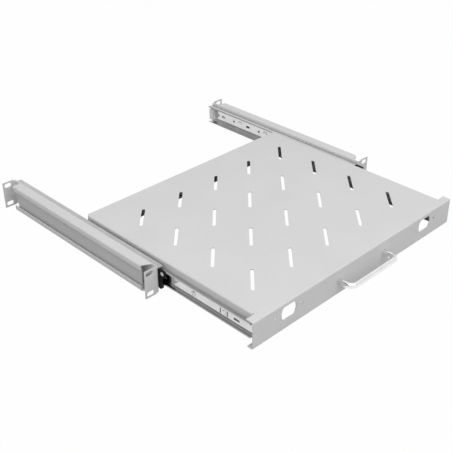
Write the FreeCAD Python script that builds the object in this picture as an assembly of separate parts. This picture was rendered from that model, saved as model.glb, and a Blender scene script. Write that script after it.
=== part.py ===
import FreeCAD, Part
import math
import os

V = FreeCAD.Vector
os.makedirs("parts", exist_ok=True)

# Shelf and bracket sheet
sheet = 1.5
bend = 1.0
fold = sheet + bend

# Rack interface: ears with four oblong holes at each end
rack_span = 482.6
rack_edge = 8.75
rack_rise = 31.75
ear_width = 23.8
ear_height = 44.0
ear_corner = 4.0
ear_slot_width = 7.0
ear_slot_length = 12.0

# Front bracket: lipped channel open outwards, its web running on to the ear and to the slide's rear end
channel_height = 43.0
channel_reach = 16.5
channel_lip = 8.5
channel_front = 8.5
channel_slant = 9.0
channel_rear = 18.5
channel_end_gap = 0.5
neck_height = 41.0

# Cover strip in the channel, behind the lips
cover_sheet = 1.0
cover_height = 36.8
cover_set = 2.0
cover_front = 13.5
cover_rear = 23.5

# Rear bracket: flat bar with an ear, telescoping inside the channel
slip = 0.2
bar_height = 36.8
bar_front = 30.0
head_length = 16.5
rear_travel = 220.0

# Ball slides
slide_length = 347.0
slide_end_gap = 1.0
slide_height = 32.0
slide_mid = 1.0
slide_sheet = 1.2
slide_bend = 0.8
ball_r = 2.2
ball_gap = 0.05
balls_per_race = 3
ball_end = 11.0
race_u = 8.85
race_turn = 45.0
lip_flat = 0.2
rail_u = 11.2
rail_bend = 0.6
shoulder_gap = 0.35
shoulder_bend = 0.5
shoulder_rise = 0.75
rail_short = 2.0
hold_length = 82.0
cage_sheet = 0.6
cage_bend = 0.4
cage_clear = 0.35
cage_edge = 0.65
cage_margin = 4.0

# Holes and lances along the slides
row_pitch = 64.0
row_start = 20.0
end_hole = 18.4
hole_inset = 58.4
slot_inset = 30.5
slide_slot_length = 9.0
lance_inset = 74.5
lance_half = 3.75
lance_rise = 4.6
lance_slit = 1.0
rail_lance = 51.0
rail_lance_span = 12.5
rail_lance_height = 8.5
rail_lance_width = 1.8
rail_boss_r = 3.6
rail_boss_top_r = 2.6
rail_boss_rise = 1.4
rail_slot = 28.0
rail_slot_length = 11.0
rail_slot_width = 3.5

# Drawn-out pose and stops
pull_out = 160.0
stand_off = 17.0
stop_gap = 1.0
rail_front = 9.0
rail_rear = 1.0

# Shelf
tray_top = 21.0
wall_bottom = -18.0
seat_rise = 3.1
seat_r = 6.0
side_return = 8.2
rear_return = 11.0
panel_bottom = -21.0
panel_return = 10.0
tab_width = 13.0
tab_depth = 12.5
corner_gap = 0.5
relief = 1.5
vent_pitch = 75.0
vent_margin = 30.0
vent_length = 48.0
vent_width = 5.0
port_inset = 53.2
port_z = 4.8
port_r = 14.0
port_half_height = 10.0
port_screw_pitch = 50.0
port_screw_r = 1.75

# Handle
handle_pitch = 100.0
handle_z = 2.0
handle_out = 22.5
handle_bar_r = 4.5
handle_bend = 9.0

# Fasteners
fit_gap = 0.05
rivet_r = 2.0
rivet_head_r = 3.2
rivet_head = 1.0
rivet_clear = 0.8
stud_r = 2.5
stud_head_r = 3.5
stud_head = 0.8
stud_tail = 1.5
stud_inset = 45.0
stud_pitch = 39.0
stud_slot_gap = 0.25
stud_stop = 1.0
nut_flange_r = 5.5
nut_flange = 1.2
nut_flats = 8.0
nut_height = 5.0
screw_r = 2.0
screw_head_r = 3.5
screw_head = 1.6
screw_tail = 2.0
screw_front = 108.0
screw_rear = 27.0
grip_head_r = 4.4
grip_head = 2.4
grip_depth = 10.0
grip_spare = 2.0

# Plastic end pieces of the slides
bumper_depth = 7.8
bumper_half = 10.5
bumper_round = 1.5
guide_u = 0.3
guide_base = 4.3
guide_half = 16.2
guide_length = 5.0
guide_arm_u = 6.0
guide_arm_clear = 0.35
guide_tongue = 1.4
guide_tongue_half = 8.0
guide_tongue_length = 15.0
nose_length = 12.5
nose_low = 3.5
nose_high = 14.2
nose_round = 3.0
guide_pin_r = 2.9
guide_pin_back = 8.6
guide_pin_v = 10.4

# Positions that follow from the sizes above
ear_end = rack_span / 2
web_in = ear_end - ear_width
web_out = web_in + sheet
lip_x = web_in + channel_reach
rear_in = web_out + slip
rear_out = rear_in + sheet
post_gap = slide_length + slide_end_gap
race = ball_r + ball_gap
race_v = slide_height / 2 - slide_sheet - race
lip_run = (race + slide_sheet) * math.tan(math.radians(race_turn / 2))
lip_u = race_u + lip_run + (lip_run + lip_flat) * math.cos(math.radians(race_turn))
lip_v = slide_height / 2 - (lip_run + lip_flat) * math.sin(math.radians(race_turn))
rail_x = web_in - rail_u
wall_x = rail_x - seat_rise
rail_half = race_v - race
shoulder_u = race_u - ball_r - shoulder_gap
tip_v = rail_half + shoulder_rise
cage_v = tip_v + cage_clear + cage_sheet
cage_u = slide_sheet + rivet_head + rivet_clear
cage_tip = race_u + ball_r + cage_edge
panel_y = -(pull_out + stand_off)
rail_y0 = panel_y + rail_front
rail_y1 = rail_y0 + slide_length - rail_short
tray_y1 = rail_y1 + rail_rear
reach_out = rail_y1 - hold_length
cage_y0 = reach_out / 2
cage_length = hold_length - cage_margin
panel_x = wall_x + tab_width
tab_y = panel_y + tab_depth
port_x = wall_x - port_inset
stud_rear = slide_length - stud_inset
stud_stations = (stud_rear - stud_pitch, stud_rear)
screw_y0 = rail_y0 + screw_front
screw_y1 = rail_y1 - screw_rear
screw_stations = (screw_y0, screw_y1)
ball_step = (cage_length - 2 * ball_end) / (balls_per_race - 1)
ball_stations = [cage_y0 + ball_end + i * ball_step for i in range(balls_per_race)]

# Turns for oblong cuts: depth along X with length along Y or Z, depth along Y, and diagonal in the deck
ACROSS_X = FreeCAD.Rotation(V(0, 1, 0), V(0, 0, 1), V(1, 0, 0), "ZXY")
ACROSS_Y = FreeCAD.Rotation(V(1, 0, 0), V(0, 0, 1), V(0, -1, 0), "ZXY")
UPRIGHT_X = FreeCAD.Rotation(V(0, 0, 1), V(0, -1, 0), V(1, 0, 0), "ZXY")
DIAGONAL = FreeCAD.Rotation(V(0, 0, 1), 45)


def on_xz(a, b):
    return V(a, 0, b)


def on_yz(a, b):
    return V(0, a, b)


def on_xy(a, b):
    return V(a, b, 0)


def in_slide(u, v):
    return V(web_in - u, 0, slide_mid + v)


def turns(path):
    """Signed turn angle at each inner point of a path."""
    angles = []
    for a, b, c in zip(path, path[1:], path[2:]):
        first = math.atan2(b[1] - a[1], b[0] - a[0])
        second = math.atan2(c[1] - b[1], c[0] - b[0])
        angles.append(math.remainder(second - first, 2 * math.pi))
    return angles


def side_run(path, radii, shift):
    """Lines and arcs of one face of a bent strip, moved by shift to the left of its path."""
    heads = []
    for a, b in zip(path, path[1:]):
        size = math.hypot(b[0] - a[0], b[1] - a[1])
        heads.append(((b[0] - a[0]) / size, (b[1] - a[1]) / size))
    last = (path[0][0] - heads[0][1] * shift, path[0][1] + heads[0][0] * shift)
    run = []
    for point, one, two, radius, turn in zip(path[1:], heads, heads[1:], radii, turns(path)):
        spread = 1 + one[0] * two[0] + one[1] * two[1]
        corner_a = point[0] - (one[1] + two[1]) * shift / spread
        corner_b = point[1] + (one[0] + two[0]) * shift / spread
        reach = radius * math.tan(abs(turn) / 2)
        start = (corner_a - one[0] * reach, corner_b - one[1] * reach)
        end = (corner_a + two[0] * reach, corner_b + two[1] * reach)
        way = math.copysign(radius, turn)
        centre = (start[0] - one[1] * way, start[1] + one[0] * way)
        far = math.hypot(corner_a - centre[0], corner_b - centre[1])
        middle = (
            centre[0] + (corner_a - centre[0]) * radius / far,
            centre[1] + (corner_b - centre[1]) * radius / far,
        )
        run.append((last, None, start))
        run.append((start, middle, end))
        last = end
    tail = (path[-1][0] - heads[-1][1] * shift, path[-1][1] + heads[-1][0] * shift)
    run.append((last, None, tail))
    return run


def strip_face(path, thickness, bends, side, lift):
    """Section of a bent strip: one face follows path, the other lies to its left (1) or right (-1)."""
    near_radii = []
    far_radii = []
    for turn, radius in zip(turns(path), bends):
        inside = turn * side > 0
        near_radii.append(radius + thickness if inside else radius)
        far_radii.append(radius if inside else radius + thickness)
    near = side_run(path, near_radii, 0)
    far = [(c, b, a) for a, b, c in reversed(side_run(path, far_radii, side * thickness))]
    loop = near + [(near[-1][2], None, far[0][0])] + far + [(far[-1][2], None, near[0][0])]
    edges = []
    for start, middle, end in loop:
        if middle is None:
            edges.append(Part.LineSegment(lift(*start), lift(*end)).toShape())
        else:
            edges.append(Part.Arc(lift(*start), lift(*middle), lift(*end)).toShape())
    return Part.Face(Part.Wire(edges))


def along_y(face, y0, y1):
    face.translate(V(0, y0, 0))
    return face.extrude(V(0, y1 - y0, 0))


def along_x(face, half):
    face.translate(V(-half, 0, 0))
    return face.extrude(V(2 * half, 0, 0))


def along_z(face, z0, z1):
    face.translate(V(0, 0, z0))
    return face.extrude(V(0, 0, z1 - z0))


def block(x0, x1, y0, y1, z0, z1):
    return Part.makeBox(x1 - x0, y1 - y0, z1 - z0, V(x0, y0, z0))


def disc(radius, x0, x1, y, z):
    """Cylinder along X between two stations."""
    return Part.makeCylinder(radius, x1 - x0, V(x0, y, z), V(1, 0, 0))


def rod(radius, y0, y1, x, z):
    """Cylinder along Y between two stations."""
    return Part.makeCylinder(radius, y1 - y0, V(x, y0, z), V(0, 1, 0))


def hexagon(flats, x0, x1, y, z):
    """Hexagonal prism along X."""
    radius = flats / math.sqrt(3)
    corners = []
    for step in range(7):
        angle = math.radians(60 * step)
        corners.append(V(x0, y + radius * math.cos(angle), z + radius * math.sin(angle)))
    return Part.Face(Part.makePolygon(corners)).extrude(V(x1 - x0, 0, 0))


def oblong(length, width, depth, centre, turn):
    """Round-ended cutter centred on a point."""
    half = (length - width) / 2
    body = Part.makeBox(2 * half, width, depth, V(-half, -width / 2, -depth / 2))
    ends = []
    for x in (-half, half):
        ends.append(Part.makeCylinder(width / 2, depth, V(x, 0, -depth / 2)))
    cutter = body.fuse(ends)
    cutter.Placement = FreeCAD.Placement(centre, turn)
    return cutter


def rounded(shape, radius, axis, where):
    """Fillet the straight edges along an axis whose middle passes a test."""
    chosen = []
    for edge in shape.Edges:
        if edge.Curve.TypeId != "Part::GeomLine":
            continue
        way = edge.Vertexes[-1].Point - edge.Vertexes[0].Point
        if abs(way.dot(axis)) > 0.99 * way.Length and where(edge.CenterOfMass):
            chosen.append(edge)
    return shape.makeFillet(radius, chosen)


def save(node, shape):
    shape.exportStep("parts/" + node + ".step")


def save_pair(node, shape):
    """Right-hand piece and its mirror image on the left."""
    save(node + "_right", shape)
    save(node + "_left", shape.mirror(V(0, 0, 0), V(1, 0, 0)))


def slide_row(inset):
    """Repeating stations along the fixed slide member, from its rear end forwards."""
    count = int((slide_length - inset - row_start) // row_pitch) + 1
    return [slide_length - inset - step * row_pitch for step in range(count)]


hole_row = slide_row(hole_inset)
slot_row = slide_row(slot_inset)
open_holes = [slide_length - end_hole] + hole_row
rivet_stations = (hole_row[2], hole_row[-1])


def ear(x0, y0):
    """Mounting ear from a bend line outwards, with its two oblong rack holes."""
    half = ear_height / 2
    plate = block(x0, ear_end, y0, y0 + sheet, -half, half)
    for z in (-rack_rise / 2, rack_rise / 2):
        centre = V(ear_end - rack_edge, y0 + sheet / 2, z)
        plate = plate.cut(oblong(ear_slot_length, ear_slot_width, 2 * sheet, centre, ACROSS_Y))
    return plate


def lipped_channel():
    """Channel of the front bracket with its front end cut on a slant."""
    half = channel_height / 2
    path = [
        (lip_x, channel_lip - half),
        (lip_x, -half),
        (web_in, -half),
        (web_in, half),
        (lip_x, half),
        (lip_x, half - channel_lip),
    ]
    rear_y = post_gap - channel_rear
    channel = along_y(strip_face(path, sheet, [bend] * 4, -1, on_xz), channel_front, rear_y)
    wedge = [
        V(web_out, channel_front, -half),
        V(lip_x, channel_front + channel_slant, -half),
        V(lip_x, channel_front, -half),
        V(web_out, channel_front, -half),
    ]
    return channel.cut(Part.Face(Part.makePolygon(wedge)).extrude(V(0, 0, channel_height)))


def make_front_bracket():
    neck = neck_height / 2
    path = [(web_in + fold + ear_corner, -sheet), (web_in, -sheet), (web_in, channel_front)]
    corner = along_z(strip_face(path, sheet, [bend], -1, on_xy), -neck, neck)
    tail_y0 = post_gap - channel_rear
    tail = block(web_in, web_out, tail_y0, post_gap - channel_end_gap, -neck, neck)
    ear_x = web_in + fold
    plate = rounded(ear(ear_x, -sheet), ear_corner, V(0, 1, 0), lambda p: p.x < ear_x + sheet)
    bracket = lipped_channel().fuse([corner, tail, plate]).removeSplitter()
    holes = []
    for y in open_holes:
        holes.append(disc(rivet_r + fit_gap, web_in - sheet, web_out + sheet, y, slide_mid))
    for y in slot_row:
        centre = V(web_in + sheet / 2, y, slide_mid)
        holes.append(oblong(slide_slot_length, 2 * rivet_r, 2 * sheet, centre, ACROSS_X))
    for y in stud_stations:
        holes.append(disc(stud_r + fit_gap, web_in - sheet, web_out + sheet, y, slide_mid))
        holes.append(disc(stud_head_r + fit_gap, web_in - sheet, web_in + stud_head, y, slide_mid))
    return bracket.cut(holes)


def make_cover_strip():
    """Channel-shaped strip between the lips and the rear bracket's bar."""
    half = cover_height / 2
    tip = rear_out + slip
    face_x = lip_x - sheet - cover_set
    path = [(tip, -half), (face_x, -half), (face_x, half), (tip, half)]
    section = strip_face(path, cover_sheet, [cover_sheet, cover_sheet], 1, on_xz)
    return along_y(section, cover_front, post_gap - cover_rear)


def make_rear_bracket():
    neck = neck_height / 2
    head_y0 = post_gap - head_length
    ear_x = rear_in + fold
    path = [(rear_in, head_y0), (rear_in, post_gap), (ear_x + ear_corner, post_gap)]
    head = along_z(strip_face(path, sheet, [bend], -1, on_xy), -neck, neck)
    bar = block(rear_in, rear_out, bar_front, head_y0, -bar_height / 2, bar_height / 2)
    bracket = head.fuse([bar, ear(ear_x, post_gap - sheet)]).removeSplitter()
    slot_y0 = stud_stations[0] - stud_r - stud_stop - rear_travel
    slot_y1 = stud_stations[1] + stud_r + stud_stop
    width = 2 * (stud_r + stud_slot_gap)
    centre = V(rear_in + sheet / 2, (slot_y0 + slot_y1) / 2, slide_mid)
    return bracket.cut(oblong(slot_y1 - slot_y0, width, 2 * sheet, centre, ACROSS_X))


def make_slide_outer():
    half = slide_height / 2
    corner_u = race_u + lip_run
    path = [(lip_u, -lip_v), (corner_u, -half), (0, -half), (0, half), (corner_u, half), (lip_u, lip_v)]
    section = strip_face(path, slide_sheet, [race, slide_bend, slide_bend, race], -1, in_slide)
    member = along_y(section, 0, slide_length)
    inner_x = web_in - 2 * slide_sheet
    outer_x = web_in + slide_sheet
    middle_x = web_in - slide_sheet / 2
    cuts = []
    for y in open_holes:
        cuts.append(disc(rivet_r + fit_gap, inner_x, outer_x, y, slide_mid))
    for y in slot_row:
        centre = V(middle_x, y, slide_mid)
        cuts.append(oblong(slide_slot_length, 2 * rivet_r, 2 * slide_sheet, centre, ACROSS_X))
    for y in slide_row(lance_inset):
        top = slide_mid + lance_rise
        arch = block(inner_x, outer_x, y - lance_half, y + lance_half, slide_mid, top)
        tongue = lance_half - lance_slit
        cuts.append(arch.cut(block(inner_x, outer_x, y - tongue, y + tongue, slide_mid, top - lance_slit)))
    return member.cut(cuts)


def make_slide_inner():
    path = [
        (shoulder_u, tip_v),
        (shoulder_u, rail_half),
        (rail_u, rail_half),
        (rail_u, -rail_half),
        (shoulder_u, -rail_half),
        (shoulder_u, -tip_v),
    ]
    bends = [shoulder_bend, rail_bend, rail_bend, shoulder_bend]
    rail = along_y(strip_face(path, slide_sheet, bends, -1, in_slide), rail_y0, rail_y1)
    face_x = rail_x + slide_sheet
    middle_x = rail_x + slide_sheet / 2
    boss_y = rail_y0 + rail_lance
    boss_at = V(face_x - rail_boss_rise / 2, boss_y, slide_mid)
    boss_height = rail_boss_rise * 3 / 2
    rail = rail.fuse(Part.makeCone(rail_boss_r, rail_boss_top_r, boss_height, boss_at, V(1, 0, 0)))
    cuts = []
    for y in screw_stations:
        cuts.append(disc(screw_r + fit_gap, rail_x - slide_sheet, face_x + slide_sheet, y, slide_mid))
    centre = V(middle_x, rail_y0 + rail_slot, slide_mid)
    cuts.append(oblong(rail_slot_length, rail_slot_width, 2 * slide_sheet, centre, ACROSS_X))
    for side in (-rail_lance_span / 2, rail_lance_span / 2):
        centre = V(middle_x, boss_y + side, slide_mid)
        cuts.append(oblong(rail_lance_height, rail_lance_width, 2 * slide_sheet, centre, UPRIGHT_X))
    return rail.cut(cuts)


def make_cage():
    path = [(cage_tip, cage_v), (cage_u, cage_v), (cage_u, -cage_v), (cage_tip, -cage_v)]
    section = strip_face(path, cage_sheet, [cage_bend, cage_bend], 1, in_slide)
    cage = along_y(section, cage_y0, cage_y0 + cage_length)
    pockets = []
    for y in ball_stations:
        foot = V(web_in - race_u, y, slide_mid - slide_height / 2)
        pockets.append(Part.makeCylinder(ball_r + fit_gap, slide_height, foot))
    return cage.cut(pockets)


def make_balls():
    balls = []
    for y in ball_stations:
        for v in (-race_v, race_v):
            balls.append(Part.makeSphere(ball_r, V(web_in - race_u, y, slide_mid + v)))
    return Part.makeCompound(balls)


def make_bumper():
    """Closing stop inside the rear end of the fixed slide member."""
    x1 = web_in - slide_sheet
    y0 = rail_y1 + pull_out + stop_gap
    low = slide_mid - bumper_half
    bumper = block(x1 - bumper_depth, x1, y0, slide_length, low, low + 2 * bumper_half)
    return rounded(bumper, bumper_round, V(0, 1, 0), lambda p: p.x < x1 - bumper_depth / 2)


def make_guide():
    """Plastic mouthpiece on the front end of the fixed slide member."""
    back_x = web_in - guide_u
    base_x = back_x - guide_base
    arm_v = tip_v + guide_arm_clear
    base = block(base_x, back_x, -guide_length, 0, slide_mid - guide_half, slide_mid + guide_half)
    pieces = []
    for low in (-guide_half, arm_v):
        z0 = slide_mid + low
        pieces.append(block(web_in - guide_arm_u, base_x, -guide_length, 0, z0, z0 + guide_half - arm_v))
    nose = block(base_x, back_x, -nose_length, -guide_length, slide_mid + nose_low, slide_mid + nose_high)
    pieces.append(rounded(nose, nose_round, V(1, 0, 0), lambda p: p.y < -nose_length + guide_u))
    seat_x = web_in - slide_sheet
    half = guide_tongue_half
    tongue_x = seat_x - guide_tongue
    pieces.append(block(tongue_x, seat_x, 0, guide_tongue_length, slide_mid - half, slide_mid + half))
    guide = base.fuse(pieces).removeSplitter()
    pin_z = slide_mid + guide_pin_v
    return guide.cut(disc(guide_pin_r + fit_gap, base_x, back_x, -guide_pin_back, pin_z))


def make_guide_pin():
    back_x = web_in - guide_u
    return disc(guide_pin_r, back_x - guide_base, back_x, -guide_pin_back, slide_mid + guide_pin_v)


def make_rivets():
    """Headed rivets from the fixed slide member into the front bracket, flush outside."""
    seat_x = web_in - slide_sheet
    rivets = []
    for y in rivet_stations:
        head = disc(rivet_head_r, seat_x - rivet_head, seat_x, y, slide_mid)
        shank = disc(rivet_r, seat_x - rivet_head, web_out, y, slide_mid)
        rivets.append(head.fuse(shank).removeSplitter())
    return Part.makeCompound(rivets)


nut_x = rear_out + fit_gap


def make_studs():
    """Flush-headed clamp studs pressed into the front bracket."""
    studs = []
    for y in stud_stations:
        head = disc(stud_head_r, web_in, web_in + stud_head, y, slide_mid)
        shank = disc(stud_r, web_in, nut_x + nut_height + stud_tail, y, slide_mid)
        studs.append(head.fuse(shank).removeSplitter())
    return Part.makeCompound(studs)


def make_stud_nuts():
    """Flanged clamp nuts bearing on the rear bracket."""
    nuts = []
    for y in stud_stations:
        nut = hexagon(nut_flats, nut_x, nut_x + nut_height, y, slide_mid)
        nut = nut.fuse(disc(nut_flange_r, nut_x, nut_x + nut_flange, y, slide_mid)).removeSplitter()
        nuts.append(nut.cut(disc(stud_r + fit_gap, nut_x, nut_x + nut_height, y, slide_mid)))
    return Part.makeCompound(nuts)


def make_slide_screws():
    """Screws that hold the moving slide member to the shelf wall."""
    seat_x = rail_x + slide_sheet
    tail_x = wall_x - sheet - screw_tail
    screws = []
    for y in screw_stations:
        head = disc(screw_head_r, seat_x, seat_x + screw_head, y, slide_mid)
        shank = disc(screw_r, tail_x, seat_x + screw_head, y, slide_mid)
        screws.append(head.fuse(shank).removeSplitter())
    return Part.makeCompound(screws)


def tray_shell():
    """Folded shelf: deck with side walls, front panel with end tabs, rear wall, and inward returns."""
    inner = wall_x - side_return
    path = [
        (-inner, wall_bottom),
        (-wall_x, wall_bottom),
        (-wall_x, tray_top),
        (wall_x, tray_top),
        (wall_x, wall_bottom),
        (inner, wall_bottom),
    ]
    wall_y0 = tab_y + relief
    wall_y1 = tray_y1 - fold - corner_gap
    deck = along_y(strip_face(path, sheet, [bend] * 4, -1, on_xz), wall_y0, wall_y1)
    path = [
        (tab_y, tray_top),
        (panel_y, tray_top),
        (panel_y, panel_bottom),
        (panel_y + panel_return, panel_bottom),
    ]
    front = along_x(strip_face(path, sheet, [bend, bend], 1, on_yz), panel_x)
    path = [
        (wall_y1 - fold, tray_top),
        (tray_y1, tray_top),
        (tray_y1, wall_bottom),
        (tray_y1 - rear_return, wall_bottom),
    ]
    rear = along_x(strip_face(path, sheet, [bend, bend], -1, on_yz), wall_x - fold - corner_gap)
    for x0 in (-wall_x, inner - corner_gap):
        x1 = x0 + side_return + corner_gap
        end = block(x0, x1, wall_y1 - rear_return, tray_y1 - fold, wall_bottom, wall_bottom + sheet)
        rear = rear.cut(end)
    neck_x = wall_x - fold
    neck = block(-neck_x, neck_x, tab_y - sheet, wall_y0 + sheet, tray_top - sheet, tray_top)
    return deck.fuse([front, rear, neck]).removeSplitter()


def vent_cutters():
    """Grid of diagonal slots centred on the deck."""
    columns = int((2 * wall_x - 2 * vent_margin) // vent_pitch) + 1
    rows = int((tray_y1 - panel_y - 2 * vent_margin) // vent_pitch) + 1
    middle_y = (panel_y + tray_y1) / 2
    cutters = []
    for column in range(columns):
        for row in range(rows):
            x = (column - (columns - 1) / 2) * vent_pitch
            y = middle_y + (row - (rows - 1) / 2) * vent_pitch
            centre = V(x, y, tray_top - sheet / 2)
            cutters.append(oblong(vent_length, vent_width, 2 * sheet, centre, DIAGONAL))
    return cutters


def panel_cutters():
    """Flat-sided ports with their screw holes, and the handle's screw holes."""
    y0 = panel_y - sheet
    y1 = panel_y + 2 * sheet
    cutters = []
    for x in (-port_x, port_x):
        window = block(x - port_r, x + port_r, y0, y1, port_z - port_half_height, port_z + port_half_height)
        cutters.append(rod(port_r, y0, y1, x, port_z).common(window))
        for side in (-port_screw_pitch / 2, port_screw_pitch / 2):
            cutters.append(rod(port_screw_r, y0, y1, x + side, port_z))
    for x in (-handle_pitch / 2, handle_pitch / 2):
        cutters.append(rod(screw_r + fit_gap, y0, y1, x, handle_z))
    return cutters


def make_tray():
    """Folded shelf with raised seats for the moving slide members."""
    cutters = vent_cutters() + panel_cutters()
    seats = []
    depth = sheet + seat_rise
    for y in screw_stations:
        for x0 in (-rail_x, wall_x - sheet):
            seats.append(disc(seat_r, x0, x0 + depth, y, slide_mid))
            cutters.append(disc(screw_r + fit_gap, x0 - sheet, x0 + depth + sheet, y, slide_mid))
    return tray_shell().fuse(seats).removeSplitter().cut(cutters)


def make_handle():
    """Round bar bent twice, standing on the panel."""
    half = handle_pitch / 2
    y_bar = panel_y - handle_out
    diagonal = handle_bend * (1 - math.sqrt(0.5))
    y_bend = y_bar + handle_bend
    x_bend = half - handle_bend
    left_mid = V(diagonal - half, y_bar + diagonal, 0)
    right_mid = V(half - diagonal, y_bar + diagonal, 0)
    edges = [
        Part.LineSegment(V(-half, panel_y, 0), V(-half, y_bend, 0)).toShape(),
        Part.Arc(V(-half, y_bend, 0), left_mid, V(-x_bend, y_bar, 0)).toShape(),
        Part.LineSegment(V(-x_bend, y_bar, 0), V(x_bend, y_bar, 0)).toShape(),
        Part.Arc(V(x_bend, y_bar, 0), right_mid, V(half, y_bend, 0)).toShape(),
        Part.LineSegment(V(half, y_bend, 0), V(half, panel_y, 0)).toShape(),
    ]
    ring = Part.Wire(Part.makeCircle(handle_bar_r, V(-half, panel_y, 0), V(0, -1, 0)))
    bar = Part.Wire(edges).makePipeShell([ring], True, False)
    holes = []
    for x in (-half, half):
        holes.append(rod(screw_r + fit_gap, panel_y - grip_depth - grip_spare, panel_y, x, 0))
    bar = bar.cut(holes)
    bar.translate(V(0, 0, handle_z))
    return bar


def make_handle_screws():
    screws = []
    seat_y = panel_y + sheet
    for x in (-handle_pitch / 2, handle_pitch / 2):
        head = rod(grip_head_r, seat_y, seat_y + grip_head, x, handle_z)
        shank = rod(screw_r, panel_y - grip_depth, seat_y + grip_head, x, handle_z)
        screws.append(head.fuse(shank).removeSplitter())
    return Part.makeCompound(screws)


save_pair("front_bracket", make_front_bracket())
save_pair("cover_strip", make_cover_strip())
save_pair("rear_bracket", make_rear_bracket())
save_pair("slide_outer", make_slide_outer())
save_pair("slide_inner", make_slide_inner())
save_pair("ball_cage", make_cage())
save_pair("balls", make_balls())
save_pair("rear_bumper", make_bumper())
save_pair("front_guide", make_guide())
save_pair("guide_pin", make_guide_pin())
save_pair("slide_rivets", make_rivets())
save_pair("clamp_studs", make_studs())
save_pair("clamp_nuts", make_stud_nuts())
save_pair("slide_screws", make_slide_screws())
save("tray", make_tray())
save("handle", make_handle())
save("handle_screws", make_handle_screws())
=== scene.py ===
import logging
import math
from collections.abc import Iterable, Sequence
from dataclasses import dataclass
from enum import Enum

import bmesh
import bpy
from mathutils import Matrix, Vector


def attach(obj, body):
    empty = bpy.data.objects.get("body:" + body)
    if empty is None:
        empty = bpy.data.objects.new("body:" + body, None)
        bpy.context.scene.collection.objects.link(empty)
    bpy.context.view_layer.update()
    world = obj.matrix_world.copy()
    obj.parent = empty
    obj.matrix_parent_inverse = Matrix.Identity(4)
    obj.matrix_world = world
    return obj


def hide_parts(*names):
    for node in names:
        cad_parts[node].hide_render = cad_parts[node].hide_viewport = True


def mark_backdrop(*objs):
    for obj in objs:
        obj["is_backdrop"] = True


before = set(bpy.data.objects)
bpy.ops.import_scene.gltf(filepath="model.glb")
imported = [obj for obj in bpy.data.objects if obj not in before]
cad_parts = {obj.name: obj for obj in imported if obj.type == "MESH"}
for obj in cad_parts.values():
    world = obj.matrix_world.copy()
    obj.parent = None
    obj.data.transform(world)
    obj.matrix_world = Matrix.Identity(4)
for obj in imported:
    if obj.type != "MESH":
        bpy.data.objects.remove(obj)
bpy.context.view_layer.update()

LOG = logging.getLogger("sliding_shelf")
MM = 0.001
MERGE = 0.002 * MM
COPLANAR = math.radians(0.4)
CREASE = math.radians(42.0)
QUARTER = math.pi / 2.0
Colour = tuple[float, float, float]
Point = tuple[float, float, float]
Loop = list[bmesh.types.BMEdge]
Cut = tuple[Point, Point]
Shares = tuple[tuple[float, float], ...]
Socket = bpy.types.NodeSocket
Tree = bpy.types.NodeTree


class Side(Enum):
    """The two handed sides of the shelf, by the sign of their X."""

    LEFT = -1
    RIGHT = 1

    @property
    def label(self) -> str:
        """Name of the side as the nodes and bodies spell it."""
        return self.name.lower()

    def x(self, value: float) -> float:
        """Place on this side at that distance from the middle."""
        return self.value * value


class Slot(Enum):
    """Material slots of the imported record."""

    PAINT = "grey_paint"
    ZINC = "zinc_steel"
    CAGE = "cage_steel"
    BALL = "ball_steel"
    FASTENER = "fastener_steel"
    PLASTIC = "black_plastic"
    WHITE = "white_plastic"
    CHROME = "chrome"


class Bodies(Enum):
    """Bodies that do not differ between the sides."""

    FRAME = "frame"
    SHELF = "shelf"


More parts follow.
